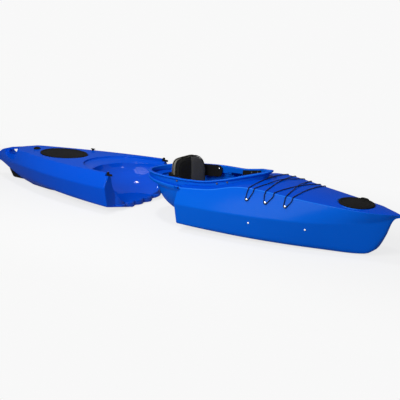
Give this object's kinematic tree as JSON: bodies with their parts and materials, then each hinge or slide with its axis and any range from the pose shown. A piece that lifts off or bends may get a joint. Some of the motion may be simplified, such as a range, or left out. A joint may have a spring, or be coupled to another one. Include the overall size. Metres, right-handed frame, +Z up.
{
  "type": "modular kayak",
  "caption": "Sit-in kayak in sections: the bow section, with cockpit and backrest, slides into a toothed receiver in the stern section and latches there.",
  "frame": {"origin": "on the ground under the middle of the whole kayak's length and beam", "axes": "+X to the bow, +Y to port, +Z up; both keels rest on Z = 0"},
  "size_m": [3.32, 0.7048, 0.415],
  "materials": {
    "hull_blue": "satin rotomoulded polyethylene, royal blue",
    "black_plastic": "moulded, matte black",
    "hatch_rubber": "soft black rubber",
    "seat_fabric": "charcoal padded cloth",
    "stainless_steel": "polished stainless",
    "rail_alloy": "extruded, satin",
    "bungee_cord": "woven black sleeve over elastic"
  },
  "bodies": {
    "bow_section": {"backrest_bolt_left": "stainless_steel", "backrest_bolt_right": "stainless_steel", "bow_hull": "hull_blue", "bungee_bolt_left_1": "stainless_steel", "bungee_bolt_left_2": "stainless_steel", "bungee_bolt_left_3": "stainless_steel", "bungee_bolt_right_1": "stainless_steel", "bungee_bolt_right_2": "stainless_steel", "bungee_bolt_right_3": "stainless_steel", "deck_bungee": "bungee_cord", "foot_rail_bolt_left_front": "stainless_steel", "foot_rail_bolt_left_rear": "stainless_steel", "foot_rail_bolt_right_front": "stainless_steel", "foot_rail_bolt_right_rear": "stainless_steel", "foot_rail_left": "rail_alloy", "foot_rail_right": "rail_alloy", "front_hatch_rim": "black_plastic", "latch_keeper_left": "stainless_steel", "latch_keeper_right": "stainless_steel", "seat_base": "black_plastic", "seat_pad": "seat_fabric", "thigh_brace_bolt_front_left": "stainless_steel", "thigh_brace_bolt_front_right": "stainless_steel", "thigh_brace_bolt_rear_left": "stainless_steel", "thigh_brace_bolt_rear_right": "stainless_steel", "thigh_brace_left": "black_plastic", "thigh_brace_right": "black_plastic"},
    "stern_section": {"stern_hull": "hull_blue", "rear_hatch_rim": "black_plastic", "skeg_pin": "stainless_steel", "latch_pin_left": "stainless_steel", "latch_pin_right": "stainless_steel", "skeg_line_cleat": "black_plastic"},
    "backrest": {"backrest_arm_left": "black_plastic", "backrest_arm_right": "black_plastic", "backrest_pad": "seat_fabric", "backrest_shell": "black_plastic"},
    "drain_plug": {"drain_plug": "hatch_rubber"},
    "foot_pedal_left": {"foot_pedal_left": "black_plastic"},
    "foot_pedal_right": {"foot_pedal_right": "black_plastic"},
    "front_hatch_lid": {"front_hatch_lid": "hatch_rubber"},
    "latch_hook_left": {"latch_hook_left": "black_plastic"},
    "latch_hook_right": {"latch_hook_right": "black_plastic"},
    "rear_hatch_lid": {"rear_hatch_lid": "hatch_rubber"},
    "skeg": {"skeg": "black_plastic"}
  },
  "joints": [
    {"name": "section_slide", "type": "slide", "parent": "bow_section", "child": "stern_section", "axis": [1, 0, 0], "range_m": [0, 0.5705]},
    {"name": "backrest_fold", "type": "hinge", "parent": "bow_section", "child": "backrest", "pos_m": [0.227, 0, 0.291], "axis": [0, 1, 0], "range_deg": [-8, 60]},
    {"name": "pedal_slide_left", "type": "slide", "parent": "bow_section", "child": "foot_pedal_left", "axis": [0.965, -0.2622, 0.0013], "range_m": [-0.13, 0.13]},
    {"name": "pedal_slide_right", "type": "slide", "parent": "bow_section", "child": "foot_pedal_right", "axis": [0.965, 0.2622, 0.0013], "range_m": [-0.13, 0.13]},
    {"name": "front_lid_lift", "type": "slide", "parent": "bow_section", "child": "front_hatch_lid", "axis": [0.0698, 0, 0.9976], "range_m": [0, 0.12]},
    {"name": "rear_lid_lift", "type": "slide", "parent": "stern_section", "child": "rear_hatch_lid", "axis": [0, 0, 1], "range_m": [0, 0.12]},
    {"name": "skeg_swing", "type": "hinge", "parent": "stern_section", "child": "skeg", "pos_m": [-1.303, 0, 0.03], "axis": [0, 1, 0], "range_deg": [0, 16]},
    {"name": "latch_turn_left", "type": "hinge", "parent": "stern_section", "child": "latch_hook_left", "pos_m": [-0.303, 0.297, 0.257], "axis": [0, 0, -1], "range_deg": [0, 90]},
    {"name": "latch_turn_right", "type": "hinge", "parent": "stern_section", "child": "latch_hook_right", "pos_m": [-0.303, -0.297, 0.257], "axis": [0, 0, 1], "range_deg": [0, 90]},
    {"name": "drain_plug_turn", "type": "hinge", "parent": "stern_section", "child": "drain_plug", "pos_m": [-1.257, 0, 0.25316], "axis": [0, 0, 1], "range_deg": [0, 90]}
  ]
}
